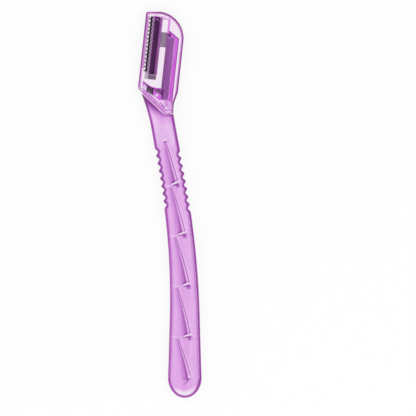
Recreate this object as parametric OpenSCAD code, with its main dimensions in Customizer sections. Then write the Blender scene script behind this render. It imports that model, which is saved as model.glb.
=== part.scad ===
// Eyebrow razor: a bent moulded handle, a blade clamped in its head, a comb guard and a clear cap.
// It lies on its back: the butt end points to -Y, the cutting edge to -X and the front face to +Z.
// The head is drawn about its own axis, from the point where that axis crosses the shank's.

/* [Handle] */
// Width of the shank just below the neck
shank_w = 9.4; // [8.8:0.1:10.2]
// Width gained from the neck down to the butt end
butt_gain_w = 4.2; // [2:0.1:6]
// Length of the rounded tip of the butt end
butt_tip_l = 7.8; // [5:0.1:12]
// Length of the straight stretch at the butt end, tip included
butt_straight_l = 31; // [20:0.5:45]
// Radius of the slow bend in the middle
bend_r = 314; // [240:1:420]
// Angle of the slow bend
bend_angle = 10.2; // [6:0.2:14]
// Length of the straight shank from the bend to the head's axis
shank_l = 32.4; // [30:0.1:42]
// Height of the handle's front face above the head's
handle_step = 0.2; // [0.1:0.05:0.5]
// Radius of the handle's long edges
handle_edge_r = 1.2; // [0.6:0.1:1.6]

/* [Grip] */
// Distance from one grip wave to the next
wave_pitch = 3; // [2.4:0.1:3.4]
// Depth of the grip waves
wave_depth = 0.9; // [0.3:0.1:1.2]
// Number of grip waves on each side
wave_count = 8; // [4:1:10]
// Distance along the shank from the head's axis down to the first wave
grip_drop = 21.2; // [18:0.2:26]
// How much lower the waves on the back edge sit
grip_stagger = 2.5; // [0:0.1:4]

/* [Relief] */
// Number of leaf-like ramps along the front of the handle
ramp_count = 5; // [1:1:5]
// Length of the uppermost ramp's long curved wall
ramp_l = 15.6; // [10:0.2:16.4]
// Distance from the lower end of one ramp to the start of the next
ramp_gap = 2.2; // [1.6:0.1:3]
// Height of a ramp at its long wall
ramp_h = 0.6; // [0.3:0.1:1]

/* [Head] */
// Angle between the head's axis and the shank
head_lean = 16.4; // [12:0.2:20]
// Distance from the shank's axis up to the top of the head
head_top = 29.6; // [27:0.1:34]
// How much lower the top of the head ends at the column
top_fall = 0.65; // [0.3:0.05:0.9]
// Distance from the head's axis to its back edge
head_back = 6.2; // [5.6:0.1:6.8]
// Width of the solid column behind the window
column_w = 4.9; // [4.4:0.1:5.2]
// Width of the window between column and blade bar
window_w = 2.2; // [1.8:0.1:2.8]
// Width of the bar that carries the blade
bar_w = 3.6; // [3:0.1:4.2]
// Width of the thin frame round the top of the window
frame_w = 0.85; // [0.6:0.05:1.2]
// Height of the blade bar's free end above the shank's axis
bar_rise = 6.7; // [6:0.1:9]
// Height of the sill below the window at the column
sill_y = 1.9; // [1.5:0.1:3]
// How much higher the sill ends on the cutting side
sill_climb = 2.1; // [1.2:0.1:2.8]
// Distance from the top of the head down to the column's sloping top
slope_drop = 5.2; // [4:0.1:7]
// Fall of the column's sloping top
slope_fall = 2.8; // [1.4:0.1:3.4]
// Thickness of the head's back plate
base_t = 1.5; // [1.2:0.1:2]
// Thickness of the front cover plate
cover_t = 1.3; // [1:0.1:1.8]
// Width of the raised rib that the cover slips over
rib_w = 2.4; // [1.8:0.1:2.6]
// Distance from the top of the column down to the rib's top
rib_inset = 2.4; // [1.6:0.1:4]
// Depth of the rib's lower end below the shank's axis
rib_foot = 2.5; // [1:0.1:3]
// Clearance between parts that are pressed together
press_gap = 0.05; // [0.03:0.01:0.08]

/* [Blade] */
// Thickness of the blade
blade_t = 0.2; // [0.15:0.01:0.25]
// How far the cutting edge stands out past the bar
edge_reach = 1.1; // [0.9:0.05:1.2]
// Width of the ground bevel at the cutting edge
bevel_w = 0.7; // [0.4:0.05:0.9]
// How far the blade hangs below the bar's free end
blade_tail = 1.9; // [1:0.1:2.2]
// Height of the bridge across the window
bridge_h = 5.8; // [4:0.1:8]
// Distance from the top of the head down to the bridge
bridge_drop = 6.1; // [5:0.1:8]
// Width of the blade's spine strip behind the window
spine_w = 0.6; // [0.4:0.05:0.7]
// Depth of the blade's tang below the sill
tang_h = 2.4; // [1.8:0.1:2.8]

/* [Guard] */
// Thickness of the folded comb guard
guard_t = 0.12; // [0.08:0.01:0.16]
// How far the comb stands out past the bar
guard_reach = 1.65; // [1.4:0.05:1.9]
// Distance from one comb finger to the next
finger_pitch = 1.55; // [1.2:0.05:1.8]
// Width of a comb finger
finger_w = 0.7; // [0.5:0.05:0.9]
// How far the slots between the fingers run in under the bar
slot_run = 0.55; // [0.3:0.05:0.8]
// Width of the guard's leaves under the bar
leaf_w = 2.3; // [1.6:0.1:2.6]

/* [Cap] */
// Side wall of the cap
cap_wall = 0.85; // [0.6:0.05:1.2]
// Front and back wall of the cap
cap_face = 0.5; // [0.4:0.05:0.8]
// Clearance between the head's faces and the cap
fit_gap = 0.2; // [0.15:0.05:0.4]
// Clearance between the comb and the cap
front_gap = 0.65; // [0.4:0.05:1]
// Clearance between the head's back edge and the cap
back_gap = 0.95; // [0.6:0.05:1.4]
// Clearance between the top of the head and the cap
top_gap = 0.9; // [0.7:0.1:1.5]
// Clearance at the cap's waist, which guides it along the head's back edge
waist_gap = 0.15; // [0.1:0.05:0.3]
// Side wall at the cap's waist
waist_wall = 0.55; // [0.45:0.05:0.8]
// Radius of the cap's round shoulder
cap_shoulder_r = 10.5; // [8:0.1:11]
// Radius of the cap's long edges
cap_edge_r = 0.9; // [0.5:0.1:1.1]
// Width of the bead round the rim
rim_w = 1; // [0.6:0.1:1.4]
// Height of the bead round the rim
rim_bead = 0.2; // [0.1:0.05:0.3]
// Clearance between the rim and the handle's shoulder
rim_gap = 0.25; // [0.2:0.05:0.4]
// Depth of the rim's corner on the cutting side below the shank's axis
rim_corner = 0.3; // [0.1:0.1:0.6]
// Depth of the rim's lowest point below the shank's axis
rim_low = 7.9; // [7:0.1:8.6]
// Distance from the head's axis to the rim's lowest point
rim_low_x = 3.5; // [2.6:0.1:4]

/* [Hidden] */
over = 1;
fine = 48;

// Levels from the underside up: the cap's back, the head's two plates, the cap's front
head_z = rim_bead + cap_face + fit_gap;
split_z = head_z + base_t;
blade_z = split_z - blade_t;
front_z = split_z + cover_t;
cap_z = front_z + fit_gap + cap_face + rim_bead;
handle_t = front_z + handle_step;

// Columns of the head, from its back edge towards the cutting side
column_x = head_back - column_w;
bar_x = column_x - window_w;
bar_tip_x = bar_x - bar_w;
comb_x = bar_tip_x - guard_reach;
edge_x = bar_tip_x - edge_reach;
chin_x = bar_tip_x - edge_reach - blade_t * 2;

// Heights of the head
window_y = head_top - top_fall / 2 - frame_w;
slope_y = head_top - slope_drop;
column_y = slope_y - slope_fall;
sill_tip_y = sill_y + sill_climb;

// Outline of the cap, from its corners
cap_left = comb_x - front_gap - cap_wall;
cap_right = head_back + back_gap + cap_wall;
cap_top = head_top + top_gap + cap_wall;
cap_top_fall = top_gap * 2 / 3;
waist_x = head_back + waist_gap + waist_wall;
rim_chamfer = cap_wall * 1.4;
rim_left = [cap_left + rim_chamfer, -rim_corner];
rim_apex = [rim_low_x, -rim_low];
rim_right = [waist_x + waist_gap, rim_apex.y + (waist_x - rim_apex.x) / 6];
rim_slope = (rim_apex.y - rim_left.y) / (rim_apex.x - rim_left.x);
rim_drop = rim_gap * norm([1, rim_slope]);
waist_y = rim_right.y / 2;

// Centreline of the handle, measured from the butt end
bend_l = bend_r * bend_angle * PI / 180;
neck_s = butt_straight_l + bend_l + shank_l;
net_lean = head_lean - bend_angle;

function lean_at(s) = bend_angle * min(max((s - butt_straight_l) / bend_l, 0), 1);
function centre_at(s) =
    s < butt_straight_l ? [0, s]
    : [-bend_r * (1 - cos(lean_at(s))), butt_straight_l + bend_r * sin(lean_at(s))]
      + max(s - butt_straight_l - bend_l, 0) * [-sin(bend_angle), cos(bend_angle)];
function on_handle(s, x) = centre_at(s) + x * [cos(lean_at(s)), sin(lean_at(s))];
function turned(p, a) = [p.x * cos(a) + p.y * sin(a), p.y * cos(a) - p.x * sin(a)];
function on_head(p) = centre_at(neck_s) + turned(p, net_lean);
function half_w(s) = (shank_w + butt_gain_w * pow(1 - s / neck_s, 2)) / 2;
function unit(v) = v / norm(v);
function flipped(pts) = [for (i = [len(pts) - 1:-1:0]) pts[i]];
function bezier(a, b, c, t) = (1 - t) * (1 - t) * a + 2 * t * (1 - t) * b + t * t * c;

// Outline points moved inwards by d, for an outline that runs anticlockwise
function inset(pts, d) = let (n = len(pts)) [
    for (i = [0:n - 1])
        let (u = unit(pts[i] - pts[(i + n - 1) % n]), v = unit(pts[(i + 1) % n] - pts[i]))
        pts[i] + d * [-u.y - v.y, u.x + v.x] / (1 + u * v)
];

// Inset and height of each level of a plate with round long edges
edge_steps = 3;
function edge_levels(t, r) = concat(
    [for (i = [0:edge_steps]) let (a = 90 * i / edge_steps) [r * (1 - sin(a)), r * (1 - cos(a))]],
    [for (i = [edge_steps:-1:0]) let (a = 90 * i / edge_steps) [r * (1 - sin(a)), t - r * (1 - cos(a))]]
);

// Solid through rings of points, from the lowest ring to the highest, with its end faces split as given
module stacked(rings, ends) {
    n = len(rings[0]);
    top = len(rings) - 1;
    sides = [
        for (k = [0:top - 1], i = [0:n - 1])
            let (j = (i + 1) % n)
            each [[k * n + i, k * n + n + i, k * n + n + j], [k * n + i, k * n + n + j, k * n + j]]
    ];
    above = [for (face = ends) [for (i = flipped(face)) top * n + i]];
    polyhedron(points = [for (ring = rings) each ring], faces = concat(sides, ends, above));
}

// One long side of the handle, from the butt end up to the shoulder
butt_steps = 9;
plain_steps = 20;
wave_steps = 8;
neck_steps = 6;
neck_l = shank_w * 1.4;
shoulder_left = [comb_x, rim_left.y + rim_slope * (comb_x - rim_left.x) - rim_drop];
shoulder_apex = rim_apex - [0, rim_drop];
shoulder_right = rim_right + [waist_gap, -rim_gap];

function wave_top(side) = neck_s - grip_drop - (side > 0 ? grip_stagger : 0);
function wave_cut(s, side) = wave_depth * (1 - cos(360 * (wave_top(side) - s) / wave_pitch)) / 2;
function butt_points(side, d) = [
    for (i = [1:butt_steps])
        let (a = 90 * i / butt_steps, s = butt_tip_l - (butt_tip_l - d) * cos(a))
        on_handle(s, side * (half_w(butt_tip_l) - d) * sin(a))
];
function plain_points(side, d) = let (run = wave_top(side) - wave_count * wave_pitch - butt_tip_l) [
    for (i = [1:plain_steps])
        let (s = butt_tip_l + run * i / plain_steps)
        on_handle(s, side * (half_w(s) - d))
];
function wave_points(side, d) = let (n = wave_count * wave_steps) [
    for (i = [1:n])
        let (s = wave_top(side) - (n - i) * wave_pitch / wave_steps, depth_share = 1 - d / handle_edge_r / 2)
        on_handle(s, side * (half_w(s) - d - depth_share * wave_cut(s, side)))
];
function neck_points(side, d) =
    let (
        tip = side > 0 ? shoulder_right : shoulder_left,
        end = on_head(tip + d * unit(shoulder_apex - tip)),
        s = neck_s - neck_l - (side > 0 ? shank_w / 5 : 0),
        reach = (side > 0 ? neck_l / 2 : neck_l) / 2,
        x = side * (half_w(s) - d)
    )
    [for (i = [0:neck_steps]) bezier(on_handle(s, x), on_handle(s + reach, x), end, i / neck_steps)];
function side_points(side, d) =
    concat(butt_points(side, d), plain_points(side, d), wave_points(side, d), neck_points(side, d));
function handle_outline(d) =
    concat([[0, d]], side_points(1, d), [on_head(shoulder_apex)], flipped(side_points(-1, d)));

// Flat faces of the handle: rungs from side to side up to the neck, then a fan from the shoulder
function handle_ends(n) = let (apex = n / 2, last = apex - 1 - neck_steps) concat(
    [[0, 1, n - 1]],
    [for (i = [1:last - 1]) [i, i + 1, n - i - 1, n - i]],
    [[last, apex, n - last]],
    [for (i = [last:apex - 2]) each [[i, i + 1, apex], [apex, n - i - 1, n - i]]]
);

// Outer outline of the cap, anticlockwise from the corner on the cutting side
shoulder_steps = 12;
function cap_outline() =
    let (
        c = [cap_right - cap_shoulder_r, cap_top - cap_shoulder_r],
        corner = [cap_left, cap_top - cap_top_fall]
    )
    concat(
        [[cap_left, rim_left.y + rim_chamfer], rim_left, rim_apex, rim_right],
        [[waist_x, waist_y], [cap_right, back_gap]],
        [
            for (i = [0:shoulder_steps])
                let (a = 88 * i / shoulder_steps)
                c + cap_shoulder_r * [cos(a), sin(a)]
        ],
        [corner + [rim_w / 2, 0], corner - [0, rim_w / 2]]
    );

// Middle of the whole razor in plan, so that the origin lies under it
reach_pts = concat([for (p = cap_outline()) on_head(p)], handle_outline(0));
reach_x = [for (p = reach_pts) p.x];
reach_y = [for (p = reach_pts) p.y];
origin = -[min(reach_x) + max(reach_x), min(reach_y) + max(reach_y)] / 2;

module in_place() {
    translate(origin) children();
}

module head_frame() {
    in_place() translate(centre_at(neck_s)) rotate(-net_lean) children();
}

module plate(z, t, pts) {
    translate([0, 0, z]) linear_extrude(t) polygon(pts);
}

module pill(w, low, high) {
    translate([-w / 2, low + w / 2]) square([w, high - low - w]);
    translate([0, low + w / 2]) circle(d = w, $fn = fine);
    translate([0, high - w / 2]) circle(d = w, $fn = fine);
}

// Shared edges of the two head plates: sill, window, blade bar and column
lip_y = shoulder_left.y + rim_drop;
sill_mid = [bar_tip_x + bar_w / 2, sill_y - sill_climb / 4];
sill_pts = [for (i = [0:4]) bezier([chin_x, sill_tip_y], sill_mid, [column_x, sill_y], i / 4)];
bar_pts = [
    [column_x, window_y],
    [bar_x, window_y],
    [bar_x, bar_rise],
    [bar_tip_x, bar_rise],
    [bar_tip_x, head_top]
];
column_pts = [
    [bar_x, head_top],
    [column_x + frame_w, head_top - top_fall],
    [column_x + frame_w, slope_y],
    [head_back, column_y]
];
window_edge = concat(sill_pts, bar_pts, column_pts);

// Height of a line that runs along the shoulder, lifted by rise
function shoulder_line(x, rise) =
    rise + (x < shoulder_apex.x
        ? shoulder_apex.y + rim_slope * (x - shoulder_apex.x)
        : shoulder_apex.y + (shoulder_right.y - shoulder_apex.y)
            * (x - shoulder_apex.x) / (shoulder_right.x - shoulder_apex.x));
neck_left = chin_x + waist_wall;
cover_rise = rim_w * 2;
root = rim_w * 2;
root_left = chin_x + root;

// Line of the cover's lower edge, lifted by rise, from the back edge to the cutting side
function lower_edge(left, rise) = [
    [head_back, shoulder_line(head_back, rise)],
    [shoulder_apex.x, shoulder_line(shoulder_apex.x, rise)],
    [left, shoulder_line(left, rise)]
];

rib_x = column_x + spine_w + press_gap * 3 + rib_w / 2;
module rib(grow) {
    translate([rib_x, 0]) pill(rib_w + grow * 2, -rib_foot - grow, slope_y - rib_inset + grow);
}

// Flat part of the blade: bridge, spine strip and the two lobes of the tang, round the window
spine_x = column_x + press_gap * 2;
lobe_x = bar_x - spine_w;
lobe_tip_x = bar_tip_x + blade_t;
tang_y = sill_y - tang_h;
web_y = sill_y - frame_w;
tang_top = [for (p = sill_pts) p - [0, frame_w / 2]];
blade_flat_pts = concat(
    [tang_top[0] + [frame_w / 3, 0]],
    [for (i = [1:3]) tang_top[i]],
    [[spine_x, tang_top[4].y], [spine_x, head_top - bridge_drop - bridge_h]],
    [[bar_x - over, head_top - bridge_drop - bridge_h], [bar_x - over, head_top - bridge_drop]],
    [[spine_x + spine_w, head_top - bridge_drop], [spine_x + spine_w, tang_y - blade_t]],
    [[bar_x, tang_y + frame_w], [bar_x, web_y], [lobe_x, web_y], [lobe_x, tang_y - frame_w]],
    [[lobe_tip_x, tang_y + spine_w], [lobe_tip_x, sill_y]]
);

module blade_strip(x, low, high, grow) {
    z = [blade_z - grow, split_z];
    mid_z = (blade_z + split_z) / 2;
    translate([0, high, 0]) rotate([90, 0, 0]) linear_extrude(high - low) polygon([
        [edge_x, mid_z],
        [edge_x + bevel_w, z.x],
        [x, z.x],
        [x, z.y],
        [edge_x + bevel_w, z.y]
    ]);
}

strip_x = bar_x - press_gap * 2;
strip_low = bar_rise - blade_tail;
strip_top = head_top - frame_w / 2;
leaf_x = bar_tip_x + slot_run + leaf_w;
guard_low = bar_rise + press_gap * 4;

// Seat for the guard's two leaves, open towards the cutting side
module leaf_seat() {
    translate([comb_x, guard_low - press_gap, blade_z - guard_t])
        cube([leaf_x + press_gap - comb_x, strip_top - guard_low + press_gap * 2, blade_t + guard_t * 2]);
}

// Hollow pressed for the blade in the top of the back plate
module blade_seat() {
    translate([0, 0, blade_z]) linear_extrude(blade_t + over) {
        polygon(inset(blade_flat_pts, press_gap));
        translate([comb_x - over, bar_rise - over])
            square([bar_x - comb_x - press_gap + over, strip_top + press_gap + over - bar_rise]);
    }
}

// Leaf-like ramp on the front of the handle: flush along its left side, highest at its curved wall
start_shares = [-0.04, -0.2, -0.36, -0.45, -0.42];
end_share = 0.34;
low_shares = [0.707, 0.542, 0.376, 0.21, 0.069];
tick_share = -0.14;
wall_steps = 6;
module ramp(i) {
    low_s = low_shares[i] * neck_s;
    top_s = i == 0 ? low_s + ramp_l : low_shares[i - 1] * neck_s - ramp_gap;
    start = on_handle(top_s, start_shares[i] * half_w(top_s));
    tick_s = low_s - ramp_h;
    wall = [
        for (k = [1:wall_steps])
            let (t = k / wall_steps, s = top_s + (low_s - top_s) * t, bow_share = t * (1 - t) / 4)
            on_handle(s, (start_shares[i] + (end_share - start_shares[i]) * (t + bow_share)) * half_w(s))
    ];
    run = on_handle(tick_s, tick_share * half_w(tick_s)) - start;
    heading = atan2(run.x, -run.y);
    local = [for (p = wall) turned(p - start, heading)];
    slope = asin(ramp_h / max([for (p = local) p.x]));
    last = local[wall_steps - 1];
    foot = [0, -norm(run)];
    sink = ramp_h * 2;
    blunt = ramp_h / 2;
    translate([start.x, start.y, handle_t])
        rotate([0, 0, heading])
        rotate([0, -slope, 0])
        translate([0, 0, -sink])
        linear_extrude(sink)
        polygon(concat([[-ramp_h, 0], [blunt, 0]], local, [foot + (foot - last) * ramp_h / last.x]));
}

module handle() {
    color([0.72, 0.36, 0.78]) union() {
        in_place() {
            stacked([
                for (lv = edge_levels(handle_t, handle_edge_r))
                    [for (p = handle_outline(lv[0])) [p.x, p.y, lv[1]]]
            ], handle_ends(len(handle_outline(0))));
            for (i = [0:ramp_count - 1]) ramp(i);
        }
        head_frame() difference() {
            union() {
                plate(head_z, base_t, concat(
                    window_edge,
                    lower_edge(root_left, -root),
                    [[neck_left, lip_y], [chin_x, sill_y]]
                ));
                plate(head_z, front_z - head_z, concat(
                    lower_edge(neck_left, cover_rise - press_gap * 2),
                    flipped(lower_edge(root_left, -root))
                ));
                translate([0, 0, head_z]) linear_extrude(front_z - head_z) rib(0);
            }
            blade_seat();
            leaf_seat();
        }
    }
}

module blade() {
    color([0.62, 0.6, 0.63]) head_frame() union() {
        plate(blade_z, blade_t, blade_flat_pts);
        blade_strip(strip_x, strip_low, strip_top, 0);
    }
}

module guard_comb() {
    finger_n = floor((strip_top - guard_low - finger_w) / finger_pitch);
    first_y = (strip_top + guard_low - finger_n * finger_pitch - finger_w) / 2;
    fold_z = blade_z - guard_t;
    root_x = bar_tip_x + slot_run;
    color([0.3, 0.29, 0.31]) head_frame() union() {
        for (z = [fold_z, split_z])
            translate([root_x, guard_low, z]) cube([leaf_w, strip_top - guard_low, guard_t]);
        for (i = [0:finger_n])
            translate([comb_x, first_y + i * finger_pitch, fold_z]) difference() {
                cube([root_x - comb_x + guard_t, finger_w, blade_t + guard_t * 2]);
                translate([guard_t, -over, guard_t])
                    cube([root_x - comb_x + over, finger_w + over * 2, blade_t]);
            }
    }
}

module blade_cover() {
    color([0.8, 0.5, 0.85]) head_frame() difference() {
        plate(split_z, cover_t, concat(
            window_edge,
            lower_edge(neck_left, cover_rise),
            [[chin_x, sill_y]]
        ));
        leaf_seat();
        translate([0, 0, split_z - over]) linear_extrude(cover_t + over * 2) rib(press_gap * 2);
    }
}

module cap_hollow() {
    z = rim_bead + cap_face;
    inner = cap_shoulder_r - cap_wall;
    c = [cap_right - cap_shoulder_r, cap_top - cap_shoulder_r];
    translate([0, 0, z]) linear_extrude(cap_z - z * 2) polygon(concat(
        [[cap_left + cap_wall, rim_apex.y - over], [head_back + waist_gap, rim_apex.y - over]],
        [[head_back + waist_gap, waist_y], [cap_right - cap_wall, back_gap]],
        [for (i = [0:shoulder_steps]) let (a = 88 * i / shoulder_steps) c + inner * [cos(a), sin(a)]],
        [[cap_left + cap_wall, cap_top - cap_top_fall - cap_wall]]
    ));
}

module cap() {
    lift = [0, rim_w * norm([1, rim_slope])];
    color([0.86, 0.62, 0.9, 0.6]) head_frame() difference() {
        union() {
            translate([0, 0, rim_bead])
                stacked([
                    for (lv = edge_levels(cap_z - rim_bead * 2, cap_edge_r))
                        [for (p = inset(cap_outline(), lv[0])) [p.x, p.y, lv[1]]]
                ], [[for (i = [0:len(cap_outline()) - 1]) i]]);
            plate(0, cap_z, [
                [cap_left, rim_left.y + rim_chamfer],
                rim_left,
                rim_apex,
                rim_right,
                [waist_x + waist_gap / 2, rim_right.y + lift.y],
                rim_apex + lift,
                rim_left + lift + [rim_w / 4, 0],
                [cap_left, rim_left.y + rim_chamfer + lift.y]
            ]);
        }
        cap_hollow();
    }
}

handle();
blade();
guard_comb();
blade_cover();
cap();
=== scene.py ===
"""Looks of the eyebrow razor: tinted clear plastic round a steel blade and its comb guard, on a white floor.

Sizes are in metres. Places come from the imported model's boxes, along the razor's own two lines: the handle's
bent centreline, measured by the station s from the butt end, and the head's axis, which leans off it.
"""

from math import acos, atan, cos, degrees, hypot, pi, radians, sin, tan

import bmesh
import bpy
import numpy as np
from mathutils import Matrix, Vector
from numpy.linalg import norm

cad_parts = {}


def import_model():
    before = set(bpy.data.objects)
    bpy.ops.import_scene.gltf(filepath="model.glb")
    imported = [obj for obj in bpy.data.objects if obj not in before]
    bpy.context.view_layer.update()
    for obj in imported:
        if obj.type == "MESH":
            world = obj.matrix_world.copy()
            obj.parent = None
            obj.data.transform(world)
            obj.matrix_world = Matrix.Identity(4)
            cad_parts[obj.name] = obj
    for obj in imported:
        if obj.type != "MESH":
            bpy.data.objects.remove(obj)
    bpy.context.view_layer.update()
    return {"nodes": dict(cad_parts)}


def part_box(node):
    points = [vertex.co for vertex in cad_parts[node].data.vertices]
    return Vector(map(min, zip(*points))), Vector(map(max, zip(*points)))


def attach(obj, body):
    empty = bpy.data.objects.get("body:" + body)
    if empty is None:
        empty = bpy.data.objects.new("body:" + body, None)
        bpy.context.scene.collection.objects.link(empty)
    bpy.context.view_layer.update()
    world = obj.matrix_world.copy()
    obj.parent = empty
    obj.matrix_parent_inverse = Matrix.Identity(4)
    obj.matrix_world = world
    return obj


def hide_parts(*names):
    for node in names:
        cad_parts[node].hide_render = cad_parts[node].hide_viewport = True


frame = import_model()

# The photograph's scale, and where the butt end lies in it
PIXEL = 0.000388
FRAME_PIXELS = 416
BUTT_PIXEL = (184.8, 397.9)

# Handle
SHANK_W = 0.0094
BUTT_GAIN_W = 0.0042
BUTT_TIP_L = 0.0078
BUTT_STRAIGHT_L = 0.031
BEND_R = 0.314
BEND_ANGLE = radians(10.2)
SHANK_L = 0.0324
EDGE_R = 0.0012
NECK_L = SHANK_W * 1.4

# Grip waves
WAVE_PITCH = 0.003
WAVE_DEPTH = 0.0009
WAVE_COUNT = 8
GRIP_DROP = 0.0212
GRIP_STAGGER = 0.0025

# Ramps on the handle's front. A pair is the value at a ramp's upper end and its gain down to the lower one
RAMP_L = 0.0156
RAMP_GAP = 0.0022
RAMP_H = 0.0006
LOW_SHARES = (0.707, 0.542, 0.376, 0.21, 0.069)
START_SHARES = (-0.04, -0.2, -0.36, -0.45, -0.42)
END_SHARE = 0.34
FADE_HIGH_SHARE = 0.14
FADE_LOW_SHARE = -0.52
RIDGE_LIMIT = 0.85
FADE_LIMIT = 0.95
RAMP_CURVE = 2.3
HEIGHT_HIGH = 0.25
HEIGHT_RATE = 1.3
RAMP_ROWS = 50
TOP_RUN = 0.00025
STEP_W = 0.00014
STEP_SHARE = 0.22
STRIP_W = (0.00008, 0.00046)
WALL_W = 0.0002
TICK_SLOPE = 0.33
TICK_RUN = 0.0035
TICK_REACH = 0.003
TICK_BACK = 0.001
FADE_IN = 0.001
RELIEF_LOW = 0.0026
BESIDE_W = 0.0012
ROW_STEP = 0.0003

# Painted light and shade of the handle's plain front: light and dark bands by share of the half width, reach
# and strength
FACE_BANDS = ((0.45, 0.4, 0.14), (-0.62, 0.25, 0.1), (0.95, 0.3, -0.14))
# Painted highlight at the butt end
GLEAM = 1.15
GLEAM_SHARE = 0.45
GLEAM_SOFT = 0.4
GLEAM_HIGH = 0.0052
GLEAM_RUN = 0.0038
FRONT_SHARE = 0.75
# Painted shade along the rims of the front face, stronger over the grip waves
RIM_SHADE = {-1: 0.1, 1: 0.4}
RIM_SHADE_W = 0.0005
WAVE_SHADE = 0.7

# Painted light and shade of the ramps, with pairs of the same kind
SHADE_W = (0.0015, 0.0015)
SHADE_CURVE = 1.3
SHADE_DARK = (0.3, 0.55)
LINE_W = 0.00034
LINE_DARK = (0.7, 0.4)
STEP_LINE = (0.5, 0.4)
FOOT_LINE = (1.6, -0.5)
STRIP_LIGHT = 0.5
BESIDE_LIGHT = 0.25
TICK_W = 0.0025
TICK_OVER_W = 0.0005
TICK_H = 0.0011
TICK_DARK = (1, 1.5)
TICK_LIGHT = 3.2
SPOT_R = 0.001
SPOT_DARK = 0.9
TAIL_LIGHT = 0.75
STREAK_L = 0.0032
STREAK_DARK = 1.2
BUTT_LIGHT = 2.4
TIP_H = 0.0005
TIP_LIGHT = 0.8
TIP_DARK = 2.2

# Painted light and shade of the neck. A pair is the value at its right side and its gain towards the left
NECK_SHADE = 0.0022
NECK_DARK = (0.8, 0.6)
NECK_LIGHT = (0.2475, 0.3025)
NECK_LIGHT_L = 0.003
NECK_LIGHT_LOW = 0.01
NECK_FADE_L = 0.0048

# Head
HEAD_LEAN = radians(16.4)
HEAD_TOP = 0.0296
TOP_FALL = 0.00065
HEAD_BACK = 0.0062
COLUMN_W = 0.0049
WINDOW_W = 0.0022
BAR_W = 0.0036
FRAME_W = 0.00085
BAR_RISE = 0.0067
SILL_Y = 0.0019
SILL_CLIMB = 0.0021
SLOPE_DROP = 0.0052
SLOPE_FALL = 0.0028
BASE_T = 0.0015
RIB_W = 0.0024
RIB_INSET = 0.0024
RIB_FOOT = 0.0025
PRESS_GAP = 0.00005
EDGE_SOFT = 0.00018
BEAD_SOFT = 0.00025

# Blade and guard
BLADE_T = 0.0002
GUARD_T = 0.00012
EDGE_REACH = 0.0011
SPINE_W = 0.0006
GUARD_REACH = 0.00165
SLOT_RUN = 0.00055
LEAF_W = 0.0023

# Cap
CAP_WALL = 0.00085
CAP_FACE = 0.0005
FIT_GAP = 0.0002
FRONT_GAP = 0.00065
BACK_GAP = 0.00095
TOP_GAP = 0.0009
WAIST_GAP = 0.00015
WAIST_WALL = 0.00055
CAP_SHOULDER_R = 0.0105
SHOULDER_SPAN = radians(88)
CORNER_DROP = TOP_GAP * 2 / 3
CAP_EDGE_R = 0.0009
CAVITY_SOFT = 0.0003
RIM_W = 0.001
RIM_BEAD = 0.0002
RIM_GAP = 0.00025
RIM_CORNER = 0.0003
RIM_LOW = 0.0079
RIM_LOW_X = 0.0035

# Levels, from the lying face up
HANDLE_LOW, HANDLE_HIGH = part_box("handle")
CAP_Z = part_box("cap")[1].z
HEAD_Z = RIM_BEAD + CAP_FACE + FIT_GAP
SPLIT_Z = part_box("blade_cover")[0].z
FRONT_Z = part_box("blade_cover")[1].z
BLADE_Z = SPLIT_Z - BLADE_T
HANDLE_T = HANDLE_HIGH.z - RAMP_H

# Centreline of the handle
BEND_L = BEND_R * BEND_ANGLE
NECK_S = BUTT_STRAIGHT_L + BEND_L + SHANK_L
NET_LEAN = HEAD_LEAN - BEND_ANGLE


def half_w(s):
    """Half the handle's width at station s."""
    return (SHANK_W + BUTT_GAIN_W * (1 - s / NECK_S) ** 2) / 2


BUTT = np.array([HANDLE_HIGH.x - half_w(BUTT_TIP_L), HANDLE_LOW.y])


def lean_at(s):
    """Lean of the centreline at station s."""
    return BEND_ANGLE * np.clip((s - BUTT_STRAIGHT_L) / BEND_L, 0, 1)


def centre_at(s):
    """Point of the centreline in plan at station s."""
    lean = lean_at(s)
    straight = np.minimum(s, BUTT_STRAIGHT_L) + BEND_R * np.sin(lean)
    past = np.maximum(s - BUTT_STRAIGHT_L - BEND_L, 0)
    x = -BEND_R * (1 - np.cos(lean)) - past * sin(BEND_ANGLE)
    y = straight + past * cos(BEND_ANGLE)
    return BUTT + np.stack([x, y], -1)


def on_handle(s, x):
    """Point in plan at station s and distance x from the centreline."""
    s, x = np.broadcast_arrays(np.asarray(s, float), np.asarray(x, float))
    lean = lean_at(s)
    return centre_at(s) + x[..., None] * np.stack([np.cos(lean), np.sin(lean)], -1)


def unit(a):
    """Unit vector in plan at angle a."""
    return np.array([cos(a), sin(a)])


HEAD_ORIGIN = centre_at(NECK_S)
HEAD_AXIS = np.array([sin(NET_LEAN), cos(NET_LEAN)])
HEAD_SIDE = unit(-NET_LEAN)


def on_head(x, y):
    """Point in plan from head coordinates: x across the head's axis, y along it."""
    return HEAD_ORIGIN + np.multiply.outer(x, HEAD_SIDE) + np.multiply.outer(y, HEAD_AXIS)


def head_points(points):
    """Points in plan from a list of head coordinates."""
    return [on_head(x, y) for x, y in points]


# Columns and heights of the head, and the root that joins it to the shank
COLUMN_X = HEAD_BACK - COLUMN_W
BAR_X = COLUMN_X - WINDOW_W
BAR_TIP_X = BAR_X - BAR_W
COMB_X = BAR_TIP_X - GUARD_REACH
CHIN_X = BAR_TIP_X - EDGE_REACH - BLADE_T * 2
WINDOW_Y = HEAD_TOP - TOP_FALL / 2 - FRAME_W
SLOPE_Y = HEAD_TOP - SLOPE_DROP
COLUMN_Y = SLOPE_Y - SLOPE_FALL
SILL_TIP_Y = SILL_Y + SILL_CLIMB
NECK_LEFT = CHIN_X + WAIST_WALL
COVER_RISE = RIM_W * 2
STRIP_TOP = HEAD_TOP - FRAME_W / 2
GUARD_LOW = BAR_RISE + PRESS_GAP * 4
LEAF_X = BAR_TIP_X + SLOT_RUN + LEAF_W

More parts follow.
